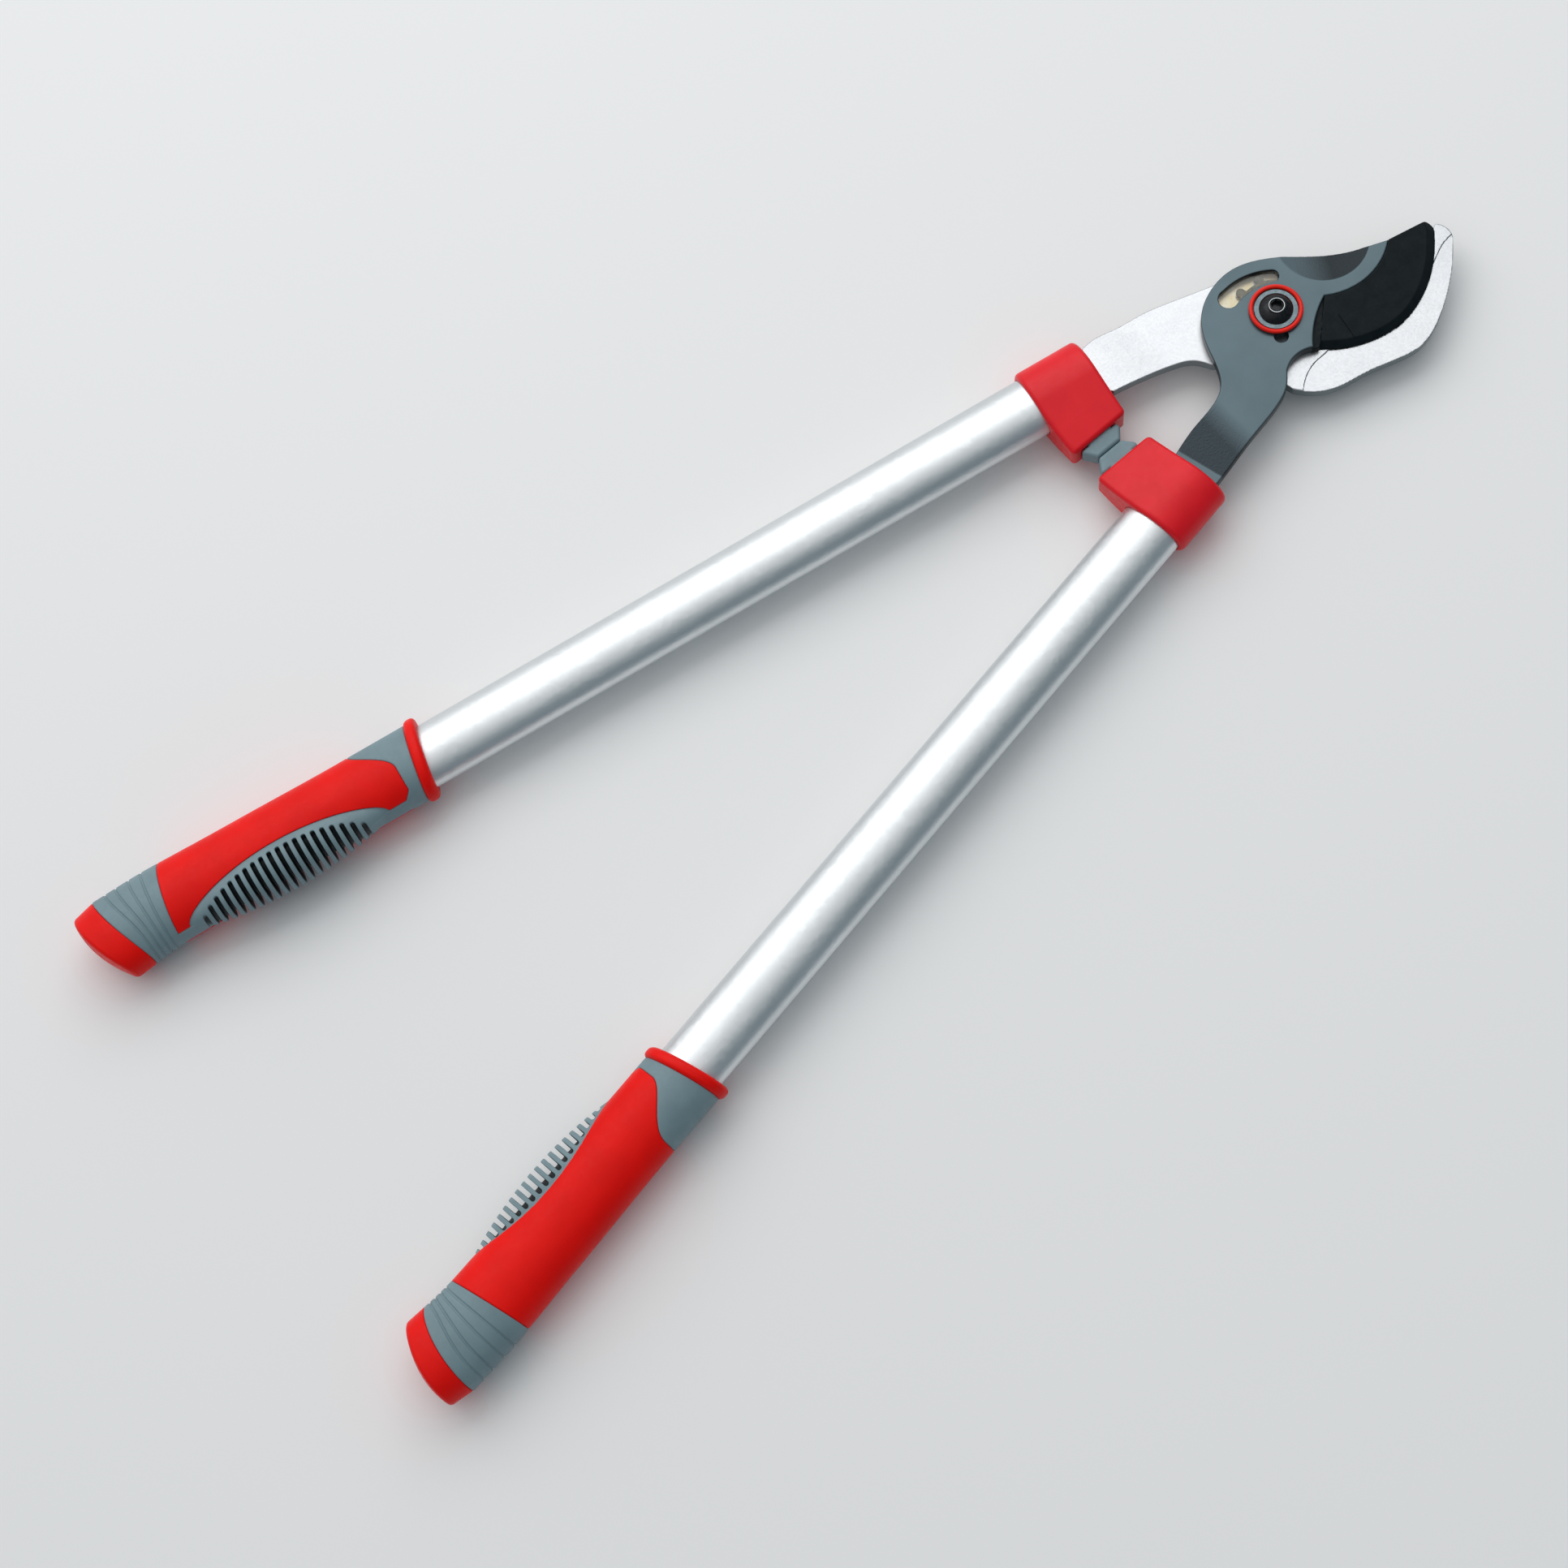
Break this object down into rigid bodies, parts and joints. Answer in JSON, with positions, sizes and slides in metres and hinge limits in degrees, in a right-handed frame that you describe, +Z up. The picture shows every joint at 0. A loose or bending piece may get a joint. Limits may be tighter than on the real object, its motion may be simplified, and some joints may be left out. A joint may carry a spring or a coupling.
{
  "type": "bypass loppers",
  "caption": "Two-handed bypass loppers: curved blade passing a hooked counter-blade on one pivot, oval tube handles, red collars with rubber stops, ribbed two-tone grips.",
  "frame": {"origin": "on the pivot axis, at the flat lower end of the pivot bolt and its nut, which is the resting plane", "axes": "+Z up along the pivot axis to the bolt head, +X along the centre line of the closed tool to the jaws, +Y to the handle of the hooked side"},
  "size_m": [0.6928, 0.2844, 0.0305],
  "materials": {
    "forged_steel": "satin ground forging",
    "grey_paint": "satin grey coat, pebbled near the collar",
    "black_coating": "fine matt non-stick coat",
    "anodised_tube": "satin anodised",
    "red_plastic": "soft gloss moulding",
    "red_grip": "smooth satin moulding",
    "grey_rubber": "soft matt overmould",
    "red_rubber": "smooth moulded ring",
    "black_steel": "black oxide",
    "zinc_steel": "zinc plated",
    "black_plastic": "matt moulding",
    "amber_plastic": "clear amber moulding",
    "bronze": "sintered bronze"
  },
  "bodies": {
    "hook_side": {"hook_lever": "forged_steel", "pivot_bush": "bronze", "thrust_disc": "bronze", "top_washer": "zinc_steel", "pivot_bolt": "black_steel", "lock_nut": "zinc_steel", "nut_washer": "zinc_steel", "upper_tube": "anodised_tube", "upper_tube_rivets": "zinc_steel", "upper_tang_plug": "black_plastic", "upper_collar": "red_plastic", "upper_bumper": "grey_rubber", "upper_grip_core": "red_grip", "upper_grip_sleeve": "grey_rubber", "upper_end_cap": "red_grip"},
    "blade_side": {"blade_lever": "grey_paint", "cutting_blade": "black_coating", "window_lens": "amber_plastic", "lock_disc": "zinc_steel", "dust_collar": "black_plastic", "ring_seal": "red_rubber", "lower_tube": "anodised_tube", "lower_tube_rivets": "zinc_steel", "lower_tang_plug": "black_plastic", "lower_collar": "red_plastic", "lower_bumper": "grey_rubber", "lower_grip_core": "red_grip", "lower_grip_sleeve": "grey_rubber", "lower_end_cap": "red_grip"}
  },
  "joints": [
    {"name": "pivot", "type": "hinge", "parent": "hook_side", "child": "blade_side", "pos_m": [0, 0, 0.01475], "axis": [0, 0, 1], "range_deg": [0, 60]}
  ]
}
